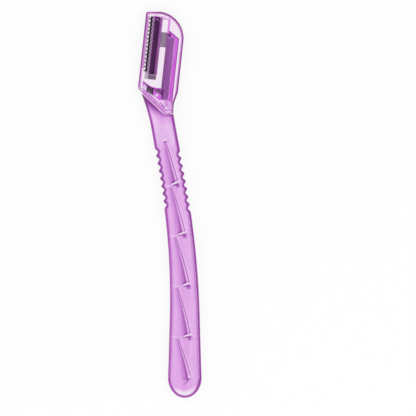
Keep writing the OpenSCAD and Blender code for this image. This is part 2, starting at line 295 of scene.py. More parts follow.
# Outline of the cap
CAP_LEFT = COMB_X - FRONT_GAP - CAP_WALL
CAP_RIGHT = HEAD_BACK + BACK_GAP + CAP_WALL
CAP_TOP = HEAD_TOP + TOP_GAP + CAP_WALL
WAIST_X = HEAD_BACK + WAIST_GAP + WAIST_WALL
ARC_MID = np.array([CAP_RIGHT - CAP_SHOULDER_R, CAP_TOP - CAP_SHOULDER_R])
RIM_CHAMFER = CAP_WALL * 1.4
RIM_LEFT = np.array([CAP_LEFT + RIM_CHAMFER, -RIM_CORNER])
RIM_APEX = np.array([RIM_LOW_X, -RIM_LOW])
RIM_RIGHT = np.array([WAIST_X + WAIST_GAP, RIM_APEX[1] + (WAIST_X - RIM_APEX[0]) / 6])
RIM_SLOPE = (RIM_APEX[1] - RIM_LEFT[1]) / (RIM_APEX[0] - RIM_LEFT[0])
RIM_DROP = RIM_GAP * hypot(1, RIM_SLOPE)
RIM_LIFT = RIM_W * hypot(1, RIM_SLOPE)
WAIST_Y = RIM_RIGHT[1] / 2

# Shoulder of the handle, just below the cap's rim
SHOULDER_LEFT = np.array([COMB_X, RIM_LEFT[1] + RIM_SLOPE * (COMB_X - RIM_LEFT[0]) - RIM_DROP])
SHOULDER_APEX = RIM_APEX - [0, RIM_DROP]
SHOULDER_RIGHT = RIM_RIGHT + [WAIST_GAP, -RIM_GAP]


def smooth(t):
    """0 up to t = 0 and 1 from t = 1, with a smooth step between."""
    t = np.clip(t, 0, 1)
    return t * t * (3 - 2 * t)


def bump(t):
    """1 at t = 0, falling smoothly to 0 at 1 on either side."""
    return smooth(1 - np.abs(t))


def gained(pair, share):
    """Value at a share of the way, from the pair of its start and its gain."""
    return pair[0] + pair[1] * share


def bezier(a, b, c, t):
    """Points of the curve from a to c that b pulls aside, at the shares t."""
    t = np.asarray(t)[..., None]
    return (1 - t) ** 2 * a + 2 * t * (1 - t) * b + t * t * c


# Mesh helpers

WELD_DIST = 1e-7
LEVEL_Z = 0.99999
SHARP_ANGLE = 34
CAP_SHARP_ANGLE = 18
BEVEL_ANGLE = radians(30)
NODE_BEVEL_ANGLE = radians(40)


def linked(name, data):
    """New object in the scene."""
    obj = bpy.data.objects.new(name, data)
    bpy.context.scene.collection.objects.link(obj)
    return obj


def new_object(name, verts, faces):
    """New mesh object."""
    mesh = bpy.data.meshes.new(name)
    mesh.from_pydata([tuple(map(float, v)) for v in verts], [], faces)
    return linked(name, mesh)


def paint(obj, material):
    """Gives an object its one material."""
    obj.data.materials.clear()
    obj.data.materials.append(material)


def edit(obj, change):
    """Runs change(bm) on the object's mesh."""
    bm = bmesh.new()
    bm.from_mesh(obj.data)
    change(bm)
    bm.to_mesh(obj.data)
    bm.free()
    return obj


def weld(bm):
    """Merges doubles and turns faces outwards."""
    bmesh.ops.remove_doubles(bm, verts=bm.verts, dist=WELD_DIST)
    bmesh.ops.dissolve_degenerate(bm, edges=bm.edges, dist=WELD_DIST)
    bmesh.ops.recalc_face_normals(bm, faces=bm.faces)


def tidy_mesh(obj, sharp_angle=SHARP_ANGLE):
    """Welds the mesh and shades it smooth, but for sharp edges and the rims of flat faces."""

    def flatten(bm):
        bm.normal_update()
        for e in bm.edges:
            flat = [abs(f.normal.z) > LEVEL_Z for f in e.link_faces]
            if any(flat) and not all(flat):
                e.smooth = False

    edit(obj, weld)
    obj.data.shade_smooth()
    obj.data.set_sharp_from_angle(angle=radians(sharp_angle))
    return edit(obj, flatten)


def ring_faces(count, n):
    """Faces between a count of rings of n points each."""
    return [
        (k * n + i, k * n + (i + 1) % n, (k + 1) * n + (i + 1) % n, (k + 1) * n + i)
        for k in range(count - 1)
        for i in range(n)
    ]


def stacked(name, rings, levels):
    """Closed solid through rings of plan points, one ring for each level."""
    n = len(rings[0])
    verts = [(x, y, z) for ring, z in zip(rings, levels) for x, y in ring]
    ends = [tuple(reversed(range(n))), tuple((len(rings) - 1) * n + i for i in range(n))]
    return new_object(name, verts, ends + ring_faces(len(rings), n))


def prism(name, points, low, high, bevel=0, steps=3):
    """Upright plate over an outline in head coordinates, with its edges rounded by bevel."""
    obj = stacked(name, [head_points(points)] * 2, [low, high])

    def change(bm):
        bmesh.ops.recalc_face_normals(bm, faces=bm.faces)
        sharp = [e for e in bm.edges if e.calc_face_angle(0) > BEVEL_ANGLE]
        bmesh.ops.bevel(
            bm, geom=sharp, offset=bevel, segments=steps, profile=0.5, affect="EDGES", clamp_overlap=True
        )

    if bevel:
        edit(obj, change)
    return obj


def combine(obj, other, operation="DIFFERENCE"):
    """Boolean of two closed meshes. The other mesh is used up."""
    modifier = obj.modifiers.new("combine", "BOOLEAN")
    modifier.operation = operation
    modifier.solver = "EXACT"
    modifier.object = other
    modifier.material_mode = "TRANSFER"
    graph = bpy.context.evaluated_depsgraph_get()
    mesh = bpy.data.meshes.new_from_object(obj.evaluated_get(graph), depsgraph=graph)
    obj.modifiers.clear()
    old, obj.data = obj.data, mesh
    mesh.name = obj.name
    bpy.data.meshes.remove(old)
    bpy.data.objects.remove(other)
    return obj


def inset(points, d):
    """Outline that runs anticlockwise, moved inwards by d."""
    p = np.asarray(points)
    u = p - np.roll(p, 1, 0)
    u /= norm(u, axis=1)[:, None]
    v = np.roll(u, -1, 0)
    away = np.stack([-u[:, 1] - v[:, 1], u[:, 0] + v[:, 0]], 1)
    return p + d * away / (1 + (u * v).sum(1))[:, None]


def edge_levels(t, r, steps=7):
    """Inset and height of each level of a plate with round long edges."""
    a = np.radians(np.linspace(0, 90, steps + 1))
    inward, rise = r * (1 - np.sin(a)), r * (1 - np.cos(a))
    return list(zip(inward, rise)) + list(zip(inward[::-1], t - rise[::-1]))


# Handle


def wave_top(side):
    """Station where the grip waves of a side begin, at their upper end."""
    return NECK_S - GRIP_DROP - (GRIP_STAGGER if side > 0 else 0)


def in_waves(s, side):
    """Whether station s lies among the grip waves of a side."""
    return (s < wave_top(side)) & (s > wave_top(side) - WAVE_COUNT * WAVE_PITCH)


def wave_cut(s, side):
    """Depth of the grip waves at station s."""
    wave = WAVE_DEPTH * (1 - np.cos(2 * pi * (wave_top(side) - s) / WAVE_PITCH)) / 2
    return np.where(in_waves(s, side), wave, 0)


def neck_start(side):
    """Station where the flared neck of a side begins."""
    return NECK_S - NECK_L - (SHANK_W / 5 if side > 0 else 0)


def neck_curve(side, d, share):
    """Point of the flared neck's edge, by its share of the way up from the lower side's start."""
    tip = SHOULDER_RIGHT if side > 0 else SHOULDER_LEFT
    to_apex = (SHOULDER_APEX - tip) / norm(SHOULDER_APEX - tip)
    end = on_head(*(tip + d * to_apex))
    s = neck_start(side)
    reach = (NECK_L / 2 if side > 0 else NECK_L) / 2
    x = side * (half_w(s) - d)
    curve = bezier(on_handle(s, x), on_handle(s + reach, x), end, np.linspace(0, 1, 33))
    if side < 0:
        low = neck_start(1)
        curve = np.vstack([on_handle(low, side * (half_w(low) - d)), curve])
    run = np.concatenate([[0], np.cumsum(norm(np.diff(curve, axis=0), axis=1))])
    return np.array([np.interp(share * run[-1], run, curve[:, i]) for i in (0, 1)])


def butt_angle(s):
    """Angle round the butt end at which the front face's edge lies at station s."""
    return acos(min(1, (BUTT_TIP_L - s) / (BUTT_TIP_L - EDGE_R)))


def edge_point(row, side, d):
    """Point of the handle's edge in plan at a row, moved inwards by d."""
    kind, value = row
    if kind == "neck":
        return neck_curve(side, d, value)
    if kind == "butt" or value < BUTT_TIP_L:
        a = value if kind == "butt" else butt_angle(value)
        s = BUTT_TIP_L - (BUTT_TIP_L - d) * cos(a)
        return on_handle(s, side * (half_w(BUTT_TIP_L) - d) * sin(a))
    share = 1 - d / EDGE_R / 2
    return on_handle(value, side * (half_w(value) - d - share * wave_cut(value, side)))


def front_edge_x(s, side):
    """Distance of the front face's edge from the centreline at station s."""
    if s < BUTT_TIP_L:
        return side * (half_w(BUTT_TIP_L) - EDGE_R) * sin(butt_angle(s))
    return side * (half_w(s) - EDGE_R - float(wave_cut(s, side)) / 2)


def ramp_ends(i):
    """Stations of ramp i's lower and upper end."""
    low = LOW_SHARES[i] * NECK_S
    return low, low + RAMP_L if i == 0 else LOW_SHARES[i - 1] * NECK_S - RAMP_GAP


def ridge_x(i, t):
    """Distance of ramp i's ridge from the centreline, at the share t of the way down it."""
    low, top = ramp_ends(i)
    bow = t * (1 - t) / 4
    return (START_SHARES[i] + (END_SHARE - START_SHARES[i]) * (t + bow)) * half_w(top + (low - top) * t)


def fade_x(i, t):
    """Distance from the centreline of the line where ramp i rises from the face."""
    low, top = ramp_ends(i)
    start = START_SHARES[i] - FADE_HIGH_SHARE
    return (start + (FADE_LOW_SHARE - start) * t) * half_w(top + (low - top) * t)


# Steps of the wall below a ramp's lower end: how far below it each lies, and how much of the height is left
TICK_STEPS = ((0.00014, 0.58), (0.00072, 0.53), (0.00086, 0))


def relief_rows():
    """Rows of the relief: station, ridge, line where it rises, share of the ramp, height and slant."""
    rows = [(RELIEF_LOW, len(LOW_SHARES) - 1, 1, 0, 0)]
    for i in range(len(LOW_SHARES)):
        low, top = ramp_ends(i)
        rows += [(low - drop, i, 1, height, TICK_SLOPE) for drop, height in TICK_STEPS]
        for t in np.linspace(1, 0, RAMP_ROWS):
            up = (top - low) * (1 - t)
            height = HEIGHT_HIGH + (1 - HEIGHT_HIGH) * smooth(t * HEIGHT_RATE)
            rows.append((low + up, i, t, height, TICK_SLOPE * smooth(1 - up / TICK_RUN)))
        rows.append((top + TOP_RUN, i, 0, 0, 0))
    return np.array([(s, ridge_x(i, t), fade_x(i, t), t, *rest) for s, i, t, *rest in sorted(rows)])


def handle_rows(relief):
    """Rows from the butt end up to the shoulder."""
    rows = [("butt", a) for a in np.linspace(0, butt_angle(RELIEF_LOW), 12)[:-1]]
    plain_end = neck_start(1)
    wave_low = NECK_S - GRIP_DROP - GRIP_STAGGER - WAVE_COUNT * WAVE_PITCH
    stations = relief[:, 0]
    for step, low, high in ((ROW_STEP, RELIEF_LOW, wave_low), (WAVE_PITCH / 16, wave_low, plain_end)):
        more = np.arange(low, high, step)
        near = np.abs(more[:, None] - stations[None]).min(1)
        stations = np.sort(np.concatenate([stations, more[near > step / 2]]))
    rows += [("plain", s) for s in stations]
    rows += [("neck", f) for f in np.linspace(0, 1, 36)[0 if plain_end - stations[-1] > 0.0001 else 1:]]
    return rows


COLUMNS = {"left": 6, "ramp": 18, "step": 3, "strip": 2, "wall": 3, "beside": 4, "right": 8}
COLUMN_N = sum(COLUMNS.values())
APEX_COLUMN = 32


def neck_corners():
    """Left tip, apex and right tip of the handle's front edge at the shoulder."""
    tips = [edge_point(("neck", 1), side, EDGE_R) for side in (-1, 1)]
    return np.array([tips[0], on_head(*SHOULDER_APEX), tips[1]])


def neck_tones(points):
    """Tone of the neck: painted shade just below the cap's rim, and painted light further down its left side.
    """
    away = np.asarray(points) - HEAD_ORIGIN
    x, y = away @ HEAD_SIDE, away @ HEAD_AXIS
    below = shoulder_line(x, 0) - y
    left = np.clip((SHOULDER_APEX[0] - x) / (SHOULDER_APEX[0] - SHOULDER_LEFT[0]), 0, 1)
    dark = gained(NECK_DARK, left) * np.exp(-(below / (NECK_SHADE * (0.5 + left))) ** 2)
    light = smooth((below - NECK_SHADE) / NECK_LIGHT_L) * smooth((NECK_LIGHT_LOW - below) / NECK_FADE_L + 1)
    return gained(NECK_LIGHT, left) * light - dark


def even_front(row):
    """Points across the front where it has no ramps: straight rungs, which bend to the shoulder's line."""
    kind, value = row
    left, right = edge_point(row, -1, EDGE_R), edge_point(row, 1, EDGE_R)
    corners = neck_corners()
    along = norm(np.diff(corners, axis=0), axis=1)
    apex = along[0] / along.sum()
    share = np.interp(np.arange(COLUMN_N + 1), [0, APEX_COLUMN, COLUMN_N], [0, apex, 1])
    points = left + (right - left) * share[:, None]
    if kind == "neck":
        bent = np.stack([np.interp(share, [0, apex, 1], corners[:, i]) for i in (0, 1)], 1)
        straight = corners[0] + (corners[2] - corners[0]) * share[:, None]
        points = points + (bent - straight) * value ** 2
    return points


def face_tones(s, share):
    """Tone of the plain front at station s and a share of the half width: painted light and dark bands, and
    the butt's painted highlight.
    """
    bands = sum(strength * bump((share - middle) / reach) for middle, reach, strength in FACE_BANDS)
    out = np.hypot(share, (BUTT_TIP_L - s) / BUTT_TIP_L) * (s < BUTT_TIP_L)
    return bands + GLEAM * smooth((out - GLEAM_SHARE) / GLEAM_SOFT) * smooth((GLEAM_HIGH - s) / GLEAM_RUN)


def ramp_tones(from_foot, from_step, along, height):
    """Tone of the ramps: painted shade towards the ridge, with a painted dark line on each side of it and
    painted light between and beside them.
    """
    there = np.clip(height * 4, 0, 1)
    shade = np.clip(1 + from_step / gained(SHADE_W, along), 0, 1) ** SHADE_CURVE * (from_step < 0)
    strip = STRIP_LIGHT * (from_step > 0) * (from_foot < 0)
    beside = BESIDE_LIGHT * bump(from_foot / SHADE_W[0]) * (from_foot > 0)
    lines = gained(STEP_LINE, along) * bump(from_step / LINE_W)
    lines = lines + gained(FOOT_LINE, along) * bump(from_foot / LINE_W)
    lines = gained(LINE_DARK, smooth(along * 3)) * lines
    return there * (strip + beside - gained(SHADE_DARK, along) * shade - lines)


def tick_tones(s, x):
    """Tone below each ramp but the lowest: a painted highlight as a bright tick between two painted dark
    lines, over a painted dark spot, with painted light trailing to its left.
    """
    tones = 0
    for i in range(len(LOW_SHARES) - 1):
        up = s - ramp_ends(i)[0]
        right = x - ridge_x(i, 1)
        bar = smooth((right + TICK_W) / LINE_W) * smooth((TICK_OVER_W - right) / LINE_W)
        over, under = bump((up - LINE_W / 2) / LINE_W), bump((up + TICK_H * 1.4) / LINE_W)
        tick = TICK_LIGHT * bump((up + TICK_H / 2) / TICK_H / 0.62)
        spot = SPOT_DARK * bump(np.hypot(right + LINE_W / 2, up + TICK_H * 1.9) / SPOT_R / 1.25)
        left = smooth((-right - TICK_W * 0.9) / SPOT_R) * (1 - 0.5 * smooth((-right - TICK_W) / TICK_W))
        tail = TAIL_LIGHT * left * bump((up + TICK_H) / SPOT_R)
        tones = tones + bar * (tick - TICK_DARK[0] * over - TICK_DARK[1] * under) - spot + tail
    return tones


def end_tones(s, x):
    """Tone at the ends of the row of ramps: painted light spots, over a painted dark bar above it and a
    painted dark streak below.
    """
    up, right = s - ramp_ends(0)[1], x - ridge_x(0, 0)
    tip = TIP_LIGHT * bump(np.hypot(right + LINE_W, up - TIP_H) / SPOT_R)
    tip = tip - TIP_DARK * bump((right + LINE_W / 2) / SPOT_R) * bump(up / TIP_H)
    last = len(LOW_SHARES) - 1
    up, right = s - ramp_ends(last)[0], x - ridge_x(last, 1)
    share = np.clip(-up / STREAK_L, 0, 1)
    streak = bump((right + share * STREAK_L * 0.9) / SPOT_R) * smooth(-up / LINE_W) * (1 - share)
    return tip + BUTT_LIGHT * bump(np.hypot(right + LINE_W, up) / SPOT_R * 1.3) - STREAK_DARK * streak


def ramped_front(s, relief):
    """Points across the front at station s, their heights above it and their tones."""
    ridge, fade, along, height, slant = (np.interp(s, relief[:, 0], v) for v in relief[:, 1:].T)
    left, right = front_edge_x(s, -1), front_edge_x(s, 1)
    foot = min(ridge, right * RIDGE_LIMIT)
    beside = min(foot + BESIDE_W, (foot + right) / 2)
    crest = foot - WALL_W
    step = crest - gained(STRIP_W, along) - STEP_W
    fade = max(fade, left * FADE_LIMIT)
    stops = [left, min(fade, step - STEP_W), step, step + STEP_W, crest, foot, beside, right]
    spans = zip(stops, stops[1:], COLUMNS.values())
    x = np.concatenate([np.linspace(a, b, n + 1)[:-1] for a, b, n in spans] + [[right]])
    climb = (1 - STEP_SHARE) * np.clip((x - fade) / (step - fade), 0, 1) ** RAMP_CURVE
    climb = climb + STEP_SHARE * smooth((x - step) / STEP_W)
    fall = 1 - smooth((x - crest) / WALL_W)
    inner = smooth((x - left) / FADE_IN) * smooth((right - x) / FADE_IN)
    reach = np.where(x < foot, TICK_REACH, TICK_BACK)
    tilt = reach * np.tanh((x - foot) / reach)
    tones = ramp_tones(x - foot, x - step, along, height) + tick_tones(s, x) + end_tones(s, x)
    tones = tones + face_tones(s, x / half_w(s))
    return on_handle(s + slant * tilt * inner, x), height * RAMP_H * climb * fall, tones


def handle_shank():
    """Bent shank with its round edges, grip waves and ramps, as one closed mesh."""
    relief = relief_rows()
    levels = edge_levels(HANDLE_T, EDGE_R)[:-1]
    rings, tones, inner = [], [], []
    for row in handle_rows(relief):
        if row[0] == "plain":
            front, height, tone = ramped_front(row[1], relief)
        else:
            front, height = even_front(row), np.zeros(COLUMN_N + 1)
            if row[0] == "neck":
                away = norm(front - front[0], axis=1)
                tone = face_tones(NECK_S, (away / away[-1] * 2 - 1) * (1 - EDGE_R / SHANK_W * 2))
            else:
                s = BUTT_TIP_L - (BUTT_TIP_L - EDGE_R) * cos(row[1])
                tone = face_tones(s, (front - BUTT)[:, 0] / half_w(s))
        tone = tone + neck_tones(front)
        # Painted shade along each rim of the front and down the round edge beside it
        shades = []
        for side, rim in ((-1, front[0]), (1, front[-1])):
            shade = RIM_SHADE[side]
            if row[0] == "plain" and in_waves(row[1], side):
                shade = WAVE_SHADE
            tone = tone - shade * bump(norm(front - rim, axis=1) / RIM_SHADE_W)
            shades.append([-shade * min(1, 2 * d / EDGE_R) for d, z in levels])
        tones += [*shades[0], *tone, *shades[1][::-1], *tone[-2:0:-1]]
        sides = [0] * len(levels)
        inner += [*sides, 0, *[1] * (COLUMN_N - 1), 0, *sides, *[0] * (COLUMN_N - 1)]
        ring = [(*edge_point(row, -1, d), z) for d, z in levels]
        ring += [(*p, HANDLE_T + h) for p, h in zip(front, height)]
        ring += [(*edge_point(row, 1, d), z) for d, z in reversed(levels)]
        ring += [(*p, 0) for p in front[-2:0:-1]]
        rings.append(ring)
    n = len(rings[0])
    faces = ring_faces(len(rings), n)
    last = (len(rings) - 1) * n
    apex_front = len(levels) + APEX_COLUMN
    apex_back = len(levels) * 2 + COLUMN_N + COLUMN_N - APEX_COLUMN
    faces.append([last + i for i in range(apex_front, apex_back + 1)])
    faces.append([last + i % n for i in range(apex_back, n + apex_front + 1)])
    obj = new_object("handle_body", [v for ring in rings for v in ring], faces)
    # tone carries the painted light and shade; front lightens the turn's painted shade on the front face
    for name, values in (("tone", np.clip(tones, -1, 1)), ("front", np.array(inner) * FRONT_SHARE)):
        obj.data.attributes.new(name, "FLOAT", "POINT").data.foreach_set("value", values.astype(np.float32))
    return tidy_mesh(obj)


# Head


def shoulder_line(x, rise):
    """Height of a line that runs along the shoulder, lifted by rise."""
    xs = [SHOULDER_LEFT[0], SHOULDER_APEX[0], SHOULDER_RIGHT[0]]
    return rise + np.interp(x, xs, [SHOULDER_LEFT[1], SHOULDER_APEX[1], SHOULDER_RIGHT[1]])


def lower_edge(left, rise):
    """Lower edge of a head plate from its back to x = left, lifted by rise off the shoulder's line."""
    return [(x, shoulder_line(x, rise)) for x in (HEAD_BACK, SHOULDER_APEX[0], left)]


def window_edge():
    """Edge that both head plates share: sill, window, blade bar and column, down to the back edge."""
    low, high = np.array([CHIN_X, SILL_TIP_Y]), np.array([COLUMN_X, SILL_Y])
    mid = np.array([BAR_TIP_X + BAR_W / 2, SILL_Y - SILL_CLIMB / 4])
    sill = [tuple(p) for p in bezier(low, mid, high, np.linspace(0, 1, 9))]
    window = [(COLUMN_X, WINDOW_Y), (BAR_X, WINDOW_Y), (BAR_X, BAR_RISE)]
    bar = [(BAR_TIP_X, BAR_RISE), (BAR_TIP_X, HEAD_TOP)]
    column = [(BAR_X, HEAD_TOP), (COLUMN_X + FRAME_W, HEAD_TOP - TOP_FALL)]
    column += [(COLUMN_X + FRAME_W, SLOPE_Y), (HEAD_BACK, COLUMN_Y)]
    return sill + window + bar + column


def pill(grow, steps=18):
    """Outline of the raised rib that the cover slips over."""
    x, r = COLUMN_X + SPINE_W + PRESS_GAP * 3 + RIB_W / 2, RIB_W / 2 + grow
    high, low = SLOPE_Y - RIB_INSET + grow - r, -RIB_FOOT - grow + r
    a = np.linspace(0, pi, steps + 1)
    upper = [(x + r * cos(t), high + r * sin(t)) for t in a]
    return upper + [(x - r * cos(t), low - r * sin(t)) for t in a]


NEAR_STRAIGHT = -0.94
CORNER_SHARE = 0.45


def rounded(points, r, steps=4):
    """Outline with its sharp corners rounded over a length r of each edge."""
    p = np.asarray(points)
    made = []
    for i, corner in enumerate(p):
        before, after = p[i - 1] - corner, p[(i + 1) % len(p)] - corner
        a, b = norm(before), norm(after)
        if before @ after / (a * b) < NEAR_STRAIGHT:
            made.append(corner)
            continue
        reach = min(r, a * CORNER_SHARE, b * CORNER_SHARE)
        start, end = corner + before * reach / a, corner + after * reach / b
        made += list(bezier(start, corner, end, np.linspace(0, 1, steps + 1)))
    return [tuple(q) for q in made]


def seat_of(node):
    """Cutter for the seat of a CAD node: its own mesh, grown by the press gap."""

    def grow(bm):
        bmesh.ops.remove_doubles(bm, verts=bm.verts, dist=WELD_DIST)
        bmesh.ops.recalc_face_normals(bm, faces=bm.faces)
        bm.normal_update()
        for v in bm.verts:
            v.co += v.normal * PRESS_GAP

    return edit(linked("seat", frame["nodes"][node].data.copy()), grow)


def leaf_seat():
    """Cutter for the seat of the guard's two leaves, open towards the cutting side."""
    low, high = GUARD_LOW - PRESS_GAP, STRIP_TOP + PRESS_GAP
    left, right = COMB_X, LEAF_X + PRESS_GAP
    points = [(left, low), (right, low), (right, high), (left, high)]
    return prism("seat", points, BLADE_Z - GUARD_T - PRESS_GAP, SPLIT_Z + GUARD_T + PRESS_GAP)


def handle_head():
    """Back plate of the head with its foot, cut for the guard's leaves and the blade. It stands on the shank's
    shoulder.
    """
    lip = SHOULDER_LEFT[1] + RIM_DROP
    edge = window_edge() + lower_edge(CHIN_X, PRESS_GAP)[:2] + [(NECK_LEFT, lip), (CHIN_X, SILL_Y)]
    obj = prism("handle_head", rounded(edge, EDGE_SOFT), HEAD_Z, SPLIT_Z, EDGE_SOFT)
    foot = lower_edge(NECK_LEFT, COVER_RISE - PRESS_GAP * 2) + lower_edge(NECK_LEFT, PRESS_GAP * 2)[::-1]
    foot = [(x - (PRESS_GAP if x == HEAD_BACK else 0), y) for x, y in foot]
    combine(obj, prism("foot", foot, HEAD_Z + BASE_T / 3, FRONT_Z, EDGE_SOFT), "UNION")
    combine(obj, leaf_seat())
    combine(obj, seat_of("blade"))
    return tidy_mesh(obj)


def rib():
    """Raised rib on the back plate."""
    return tidy_mesh(prism("rib", pill(0), SPLIT_Z + PRESS_GAP * 1.1, FRONT_Z, EDGE_SOFT))


def front_cover():
    """Front plate of the head, which clamps the blade and slips over the rib."""
    edge = window_edge() + lower_edge(NECK_LEFT, COVER_RISE) + [(CHIN_X, SILL_Y)]
    obj = prism("front_cover", rounded(edge, EDGE_SOFT), SPLIT_Z + PRESS_GAP / 2, FRONT_Z, EDGE_SOFT)
    combine(obj, leaf_seat())
    slot = prism("slot", pill(PRESS_GAP * 2), SPLIT_Z - BASE_T, FRONT_Z + BASE_T)
    return tidy_mesh(combine(obj, slot))


# Cap


def shoulder_arc(r, steps=26):
    """Round shoulder of the cap, about the centre that its inner and outer faces share."""
    return [tuple(ARC_MID + r * unit(a)) for a in np.linspace(0, SHOULDER_SPAN, steps + 1)]


def cap_outline():
    """Outer outline of the cap, anticlockwise from the corner on the cutting side."""
    low = [(CAP_LEFT, RIM_LEFT[1] + RIM_CHAMFER), tuple(RIM_LEFT), tuple(RIM_APEX), tuple(RIM_RIGHT)]
    waist = [(WAIST_X, WAIST_Y), (CAP_RIGHT, BACK_GAP)]
    corner = (CAP_LEFT, CAP_TOP - CORNER_DROP)
    top = [(corner[0] + RIM_W / 2, corner[1]), (corner[0], corner[1] - RIM_W / 2)]
    return low + waist + shoulder_arc(CAP_SHOULDER_R) + top


def cap_cavity():
    """Cutter for the inside of the cap, open at the rim."""
    left, back, low = CAP_LEFT + CAP_WALL, HEAD_BACK + WAIST_GAP, RIM_APEX[1] - RIM_W
    points = [(left, low), (back, low), (back, WAIST_Y), (CAP_RIGHT - CAP_WALL, BACK_GAP)]
    points += shoulder_arc(CAP_SHOULDER_R - CAP_WALL) + [(left, CAP_TOP - CORNER_DROP - CAP_WALL)]
    z = RIM_BEAD + CAP_FACE
    return prism("cavity", points, z, CAP_Z - z, CAVITY_SOFT, 6)


def clear_cap():
    """Clear cap: a thin sleeve with round edges and a bead round its slanted rim."""
    outline = cap_outline()
    levels = edge_levels(CAP_Z - RIM_BEAD * 2, CAP_EDGE_R)
    ease = np.ones((len(outline), 1))
    ease[3:5] = WAIST_WALL / CAP_EDGE_R
    rings = [head_points(outline + (inset(outline, d + PRESS_GAP / 2) - outline) * ease) for d, z in levels]
    obj = stacked("clear_cap", rings, [z + RIM_BEAD for d, z in levels])
    up = np.array([0, RIM_LIFT])
    bead = outline[:4] + [(WAIST_X + WAIST_GAP / 2, RIM_RIGHT[1] + RIM_LIFT), tuple(RIM_APEX + up)]
    bead += [tuple(RIM_LEFT + up + [RIM_W / 4, 0]), (CAP_LEFT, outline[0][1] + RIM_LIFT)]
    combine(obj, prism("bead", bead, 0, CAP_Z, BEAD_SOFT, 6), "UNION")
    return tidy_mesh(combine(obj, cap_cavity()), CAP_SHARP_ANGLE)


# Materials


class Nodes:
    """Short-hand for the node tree of a material or the world."""

    def __init__(self, owner, output="OutputMaterial"):
        owner.use_nodes = True
        self.tree = owner.node_tree
        self.tree.nodes.clear()
        self.out = self.add(output)

    def add(self, kind, values=None, links=None, **settings):
        """New node with settings, values for its inputs, and links from other sockets to its inputs."""
        node = self.tree.nodes.new("ShaderNode" + kind)
        for name, value in settings.items():
            setattr(node, name, value)
        for name, value in (values or {}).items():
            node.inputs[name].default_value = value
        for name, socket in (links or {}).items():
            self.tree.links.new(socket, node.inputs[name])
        return node

    def get(self, *node, output=0, **settings):
        """Output of a new node."""
        return self.add(*node, **settings).outputs[output]

    def math(self, operation, *operands):
        """Math node on sockets and plain numbers."""
        node = self.add("Math", operation=operation)
        for i, operand in enumerate(operands):
            if isinstance(operand, (int, float)):
                node.inputs[i].default_value = operand
            else:
                self.tree.links.new(operand, node.inputs[i])
        return node.outputs[0]

    def spread(self, source, low, high, start, end):
        """start at low and end at high, clamped."""
        values = {"From Min": low, "From Max": high, "To Min": start, "To Max": end}
        return self.get("MapRange", values, {"Value": source})

    def ramp(self, source, stops):
        """Colour ramp from (position, colour) stops."""
        node = self.add("ValToRGB", links={0: source})
        elements = node.color_ramp.elements
        while len(elements) < len(stops):
            elements.new(0.5)
        for element, (position, colour) in zip(elements, stops):
            element.position = position
            element.color = (*colour, 1)
        return node.outputs["Color"]

    def multiply(self, a, b):
        """Product of two colours."""
        return self.get("Mix", {0: 1}, {6: a, 7: b}, output=2, data_type="RGBA", blend_type="MULTIPLY")

    def mix(self, share, colour, plain):
        """Colour that goes over to a plain one by a share."""
        return self.get("Mix", {7: (*plain, 1)}, {0: share, 6: colour}, output=2, data_type="RGBA")

    def parts(self, vector):
        """X, Y and Z of a vector."""
        return self.add("SeparateXYZ", links={0: vector}).outputs

    def noise(self, place, grains, detail=3):
        """Noise with so many grains to the metre along each axis."""
        scaled = self.get("VectorMath", {1: grains}, {0: place}, operation="MULTIPLY")
        return self.get("TexNoise", {"Scale": 1, "Detail": detail}, {"Vector": scaled}, output="Fac")

    def moved(self, place, centre, angle):
        """Place seen from a centre in plan, turned by an angle."""
        off = self.get("VectorMath", {1: (*centre, 0)}, {0: place}, operation="SUBTRACT")
        return self.get("VectorRotate", {"Angle": angle}, {0: off}, rotation_type="Z_AXIS")

    def head_place(self):
        """Place in the head's own frame: x across its axis, y along it."""
        return self.moved(self.get("TexCoord", output="Object"), HEAD_ORIGIN, NET_LEAN)

    def patch(self, place, centre, half, soft, lean=0):
        """1 inside a leaning rectangle of the head's plane, fading to 0 over soft outside it."""
        sides = self.parts(self.moved(place, centre, -radians(lean)))
        inside = [
            self.spread(self.math("ABSOLUTE", side), reach, reach + soft, 1, 0)
            for side, reach in zip(sides, half)
        ]
        return self.math("MULTIPLY", *inside)

    def patched(self, colour, place, patches):
        """Colour with patches laid over it one after another."""
        for centre, half, soft, lean, strength, tint in patches:
            share = self.math("MULTIPLY", self.patch(place, centre, half, soft, lean), strength)
            colour = self.mix(share, colour, tint)
        return colour

    def finish(self, surface, volume=None):
        """Links the tree's output."""
        self.tree.links.new(surface, self.out.inputs["Surface"])
        if volume:
            self.tree.links.new(volume, self.out.inputs["Volume"])


WHITE = (1, 1, 1)

# Absorption colour, its density and the refractive index of each moulding
HANDLE_DEPTH = (0.726, 0.05, 0.726), 28.5, 1.46
HEAD_DEPTH = (0.807, 0.05, 0.863), 60, 1.3
RIB_DEPTH = (0.336, 0.05, 0.423), 1050, 1.46
CAP_DEPTH = (0.68, 0.05, 0.71), 150, 1.3

# Flow streaks, ripple and fine grain of the plastic: grains to the metre, colours, relief and roughness
STREAK_GRAINS = (900, 90, 900)
STREAK_SHADE = (0.92, 0.86, 0.94)
STREAK_PALE = (0.97, 0.94, 0.98)
RIPPLE_GRAINS = (420, 260, 420)
RIPPLE = {"Strength": 0.25, "Distance": 0.00003}
GLOSS_GRAINS = (2500, 2500, 2500)
GLOSS = (0.03, 0.06)

# Surface colour by how far a face turns from level, which paints shade on round edges and steep faces: the
# cosine of the angle, and the colour there
HANDLE_TURN = (
    (0.22, (0.6, 0.28, 0.64)), (0.36, (0.21, 0.013, 0.22)), (0.9, (0.21, 0.013, 0.22)),
    (0.96, (0.33, 0.08, 0.35)), (0.982, (0.72, 0.5, 0.76)), (0.995, WHITE),
)
HEAD_TURN = ((0.5, (0.45, 0.2, 0.5)), (0.97, WHITE))
